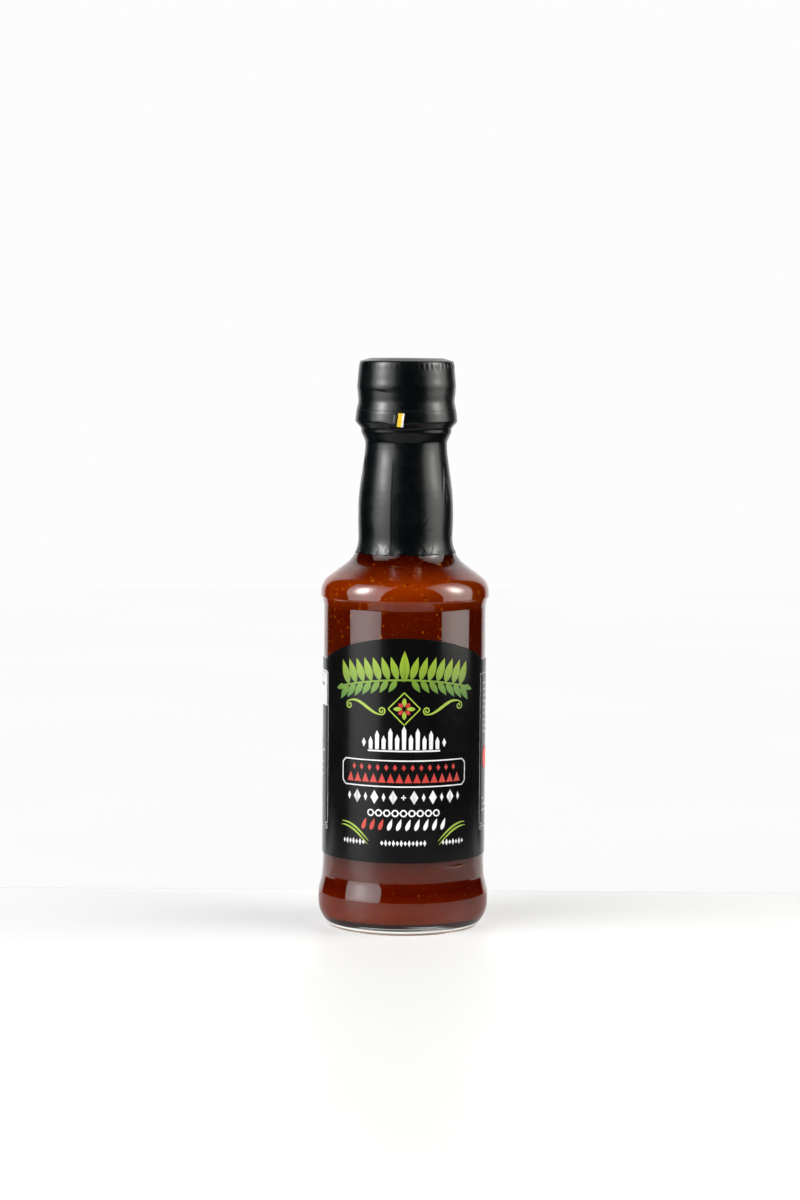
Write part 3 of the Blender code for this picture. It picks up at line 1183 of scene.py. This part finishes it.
def small_bars(ink, left, right, top, rows, seed, pitch=1.75, height=0.62):
    """Rows of short bars, as a paragraph looks from afar."""
    draw = random.Random(seed)
    for row in range(rows):
        y = top - pitch * row
        x = left
        stop = right - draw.uniform(0, 0.25) * (right - left)
        while x < stop:
            length = draw.uniform(0.9, 3.2)
            end = min(x + length, stop)
            ink.shape([(x, y), (end, y), (end, y + height), (x, y + height)])
            x = end + 0.55


def draw_side_panels(grey, white, red):
    """A framed panel on each side, with a white box on the left one and a red spot on the right one."""

    def panel(at):
        near, far, low, high = 27.8, 66.5, 30.5, 74.0
        corners = [at(near, low), at(near, high), at(far, high), at(far, low)]
        for start, end in zip(corners, corners[1:]):
            grey.line(start, end, 0.3)
        grey.line(at(near + 4, low - 1.2), at(far - 4, low - 1.2), 0.3)
        for end, way in ((near, 1), (far, -1)):
            start = (1 + way) * math.pi / 2
            grey.curl(at, (end + way * 1.2, low - 0.6), 1.25, start, way * 1.3, 0.3)

    mirrored(panel)
    white.shape([(-65.5, 64.4), (-28.6, 64.4), (-28.6, 74.6), (-65.5, 74.6)])
    for left, right, top, rows, seed in (
        (-64.5, -36, 60.5, 2, 5), (-64.5, -30, 54.5, 7, 6), (-64.5, -31, 38.6, 4, 7),
        (30, 62, 70.8, 9, 8), (38, 62, 53.0, 6, 9), (30, 60, 37.4, 3, 10),
    ):
        small_bars(grey, left, right, top, rows, seed)
    red.dot((33.4, 49.5), 3.4)


def make_print():
    """The label's ornaments, in one piece for each ink."""
    white = Ink("print_white", ink_material("white_ink", (0.92, 0.92, 0.92), (0.94, 0.94, 0.94)))
    red = Ink("print_red", ink_material("red_ink", (0.45, 0.024, 0.015), (0.54, 0.036, 0.022)))
    green = Ink("print_green", ink_material("green_ink", (0.045, 0.15, 0.026), (0.33, 0.48, 0.016), 68, 80))
    lime = Ink("print_lime", ink_material("lime_ink", (0.33, 0.48, 0.03), (0.38, 0.54, 0.05), 25, 70))
    grey = Ink("print_grey", ink_material("grey_ink", (0.42, 0.42, 0.42), (0.46, 0.46, 0.46)))
    black = Ink("print_black", ink_material("black_ink", (0.02, 0.02, 0.02), (0.03, 0.03, 0.03)))
    draw_garland(green)
    draw_scrolls(lime)
    draw_rosette(lime, red)
    draw_pickets(white)
    draw_frame(white, red)
    draw_chain(white)
    draw_rings(white)
    draw_heat_row(white, red)
    draw_swooshes(lime)
    draw_small_marks(white)
    draw_side_panels(grey, white, red)
    small_bars(black, -64.4, -30.0, 72.2, 4, 12, pitch=2.1, height=0.75)
    for ink in (white, red, green, lime, grey):
        ink.build()
    black.build(lift=2 * INK_LIFT)


def stage_plane(name, corners, material):
    mesh = bpy.data.meshes.new(name)
    mesh.from_pydata(corners, [], [(0, 1, 2, 3)])
    plane = add_mesh(name, mesh, material)
    return plane


def level_sheet(name, near, far, height, material):
    """A level stage sheet between two edges, each given by its distance behind the bottle and half width."""
    corners = [(-near[1], near[0]), (near[1], near[0]), (far[1], far[0]), (-far[1], far[0])]
    return stage_plane(name, [(x, y, height) for x, y in corners], material)


def only_mirrored(plane):
    """Leaves a stage piece to be seen in reflections alone."""
    plane.visible_camera = False
    plane.visible_diffuse = False
    plane.visible_transmission = False
    plane.visible_shadow = False


def make_stage():
    """A small table, a backdrop behind it, and two cards that are only seen mirrored in the glass."""
    edge = (TABLE_BACK, TABLE_SIDE)
    level_sheet("table_top", (TABLE_FRONT, TABLE_SIDE), edge, 0, table_material())
    far = (TABLE_BACK + SWEEP_LENGTH, SWEEP_SIDE)
    sweep = level_sheet("backdrop_sweep", edge, far, SWEEP_HEIGHT, sweep_material())
    sweep.visible_glossy = False
    near, far = [(place, NEAR_SWEEP_SIDE) for place in NEAR_SWEEP]
    only_mirrored(level_sheet("backdrop_near", near, far, NEAR_SWEEP_HEIGHT, sweep_material()))
    # A strip of painted shade along the table's back edge
    level_sheet("table_edge_shade", edge, (TABLE_BACK + EDGE_SHADE_WIDTH, TABLE_SIDE), 0, edge_shade_material())
    start, end = [polar((0, 0), FLAG_DISTANCE, turn - math.pi / 2) for turn in FLAG_AZIMUTHS]
    low, high = FLAG_HEIGHTS
    flag = [(*start, low), (*end, low), (*end, high), (*start, high)]
    only_mirrored(stage_plane("flag", flag, flag_material()))


def softbox(name, azimuth, core_place, levels, colour, glossy):
    """A large lamp aimed at the bottle. Its levels are its edge, its broad glow and its small hot core.

    It is either seen in glossy surfaces or lights matt ones, so that the two are balanced apart.
    """
    lamp = bpy.data.lights.new(name, "AREA")
    lamp.shape = "RECTANGLE"
    lamp.size, lamp.size_y = SOFTBOX_SIZE
    lamp.energy = 4 * SOFTBOX_SIZE[0] * SOFTBOX_SIZE[1]
    lamp.color = colour
    lamp.use_nodes = True
    graph = Graph(lamp.node_tree)
    place = graph.axes(graph.node("ShaderNodeNewGeometry").outputs["Parametric"])
    strength = levels[0]
    lobes = ((levels[1], GLOW_PLACE, GLOW_SPREAD), (levels[2], core_place, CORE_SPREAD))
    for level, middle, widths in lobes:
        total = 0.0
        for axis in (0, 1):
            away = graph.maths("DIVIDE", graph.maths("SUBTRACT", place[axis], middle[axis]), widths[axis])
            total = graph.plus(graph.times(away, away), total)
        strength = graph.plus(graph.times(graph.maths("POWER", math.exp(-1), total), level), strength)
    graph.links.new(strength, graph.nodes["Emission"].inputs["Strength"])
    thing = add_object(name, lamp)
    flat, rise = polar((0, 0), SOFTBOX_DISTANCE, SOFTBOX_RISE)
    aim = Vector((0, 0, AIM_HEIGHT))
    place = aim + Vector((*polar((0, 0), flat, azimuth - math.pi / 2), rise))
    thing.location = place
    thing.rotation_euler = (aim - place).to_track_quat("-Z", "Y").to_euler()
    thing.visible_camera = False
    thing.visible_glossy = glossy
    thing.visible_transmission = False
    thing.visible_diffuse = not glossy


def make_world():
    """A white room to the camera. To all else, dark with a bright backdrop behind the bottle."""
    world = bpy.data.worlds.new("studio")
    bpy.context.scene.world = world
    world.use_nodes = True
    graph = Graph(world.node_tree)
    x, y, z = graph.axes(graph.node("ShaderNodeTexCoord").outputs["Generated"])
    path = graph.node("ShaderNodeLightPath").outputs
    back = graph.maths("DIVIDE", y, graph.length(x, y))
    narrow = graph.times(graph.spread(back, *BACKDROP_SIDES, ease="SMOOTHSTEP"), BACKDROP_LIGHT)
    wide = graph.spread(back, *GLASS_SIDES, 0.0, GLASS_LIGHT, "SMOOTHSTEP")
    wall = graph.maths("MAXIMUM", narrow, graph.times(wide, path["Is Transmission Ray"]))
    below = graph.spread(z, *BACKDROP_TOP, 1.0, 0.0, "SMOOTHSTEP")
    above = graph.spread(z, *BACKDROP_FOOT, ease="SMOOTHSTEP")
    bright = graph.plus(graph.times(wall, graph.times(below, above)), ROOM_LIGHT)
    choice = graph.node("ShaderNodeMix")
    graph.links.new(path["Is Camera Ray"], choice.inputs["Factor"])
    graph.links.new(bright, choice.inputs["A"])
    choice.inputs["B"].default_value = CAMERA_LIGHT
    background = graph.nodes["Background"]
    graph.links.new(choice.outputs["Result"], background.inputs["Strength"])
    background.inputs["Color"].default_value = (1, 1, 1, 1)


def make_lights():
    left = (math.radians(-58), (0.435, 0.53))
    right = (math.radians(78), (0.50, 0.55))
    white = (1.0, 1.0, 1.0)
    warm = (1.0, 0.99, 0.94)
    softbox("softbox_left", *left, levels=(0.4, 3.6, 25.0), colour=white, glossy=True)
    softbox("softbox_right", *right, levels=(0.4, 3.4, 17.0), colour=warm, glossy=True)
    softbox("fill_left", *left, levels=(4.1, 3.5, 0.0), colour=white, glossy=False)
    softbox("fill_right", *right, levels=(3.1, 2.7, 0.0), colour=warm, glossy=False)


def make_camera():
    lens = bpy.data.cameras.new("camera")
    lens.sensor_width = 36
    lens.lens = LENS
    lens.clip_start = 0.05
    camera = add_object("camera", lens)
    level = Matrix.Rotation(math.pi / 2 - CAMERA_TILT, 4, "X") @ Matrix.Rotation(CAMERA_ROLL, 4, "Z")
    camera.matrix_world = Matrix.Translation([value * MM for value in CAMERA_PLACE]) @ level
    bpy.context.scene.camera = camera


def main():
    bpy.context.scene.view_settings.view_transform = "Standard"
    make_bottle()
    make_sauce()
    make_cap()
    make_capsule()
    make_tear_tab()
    make_label()
    make_print()
    make_stage()
    make_world()
    make_lights()
    make_camera()


main()
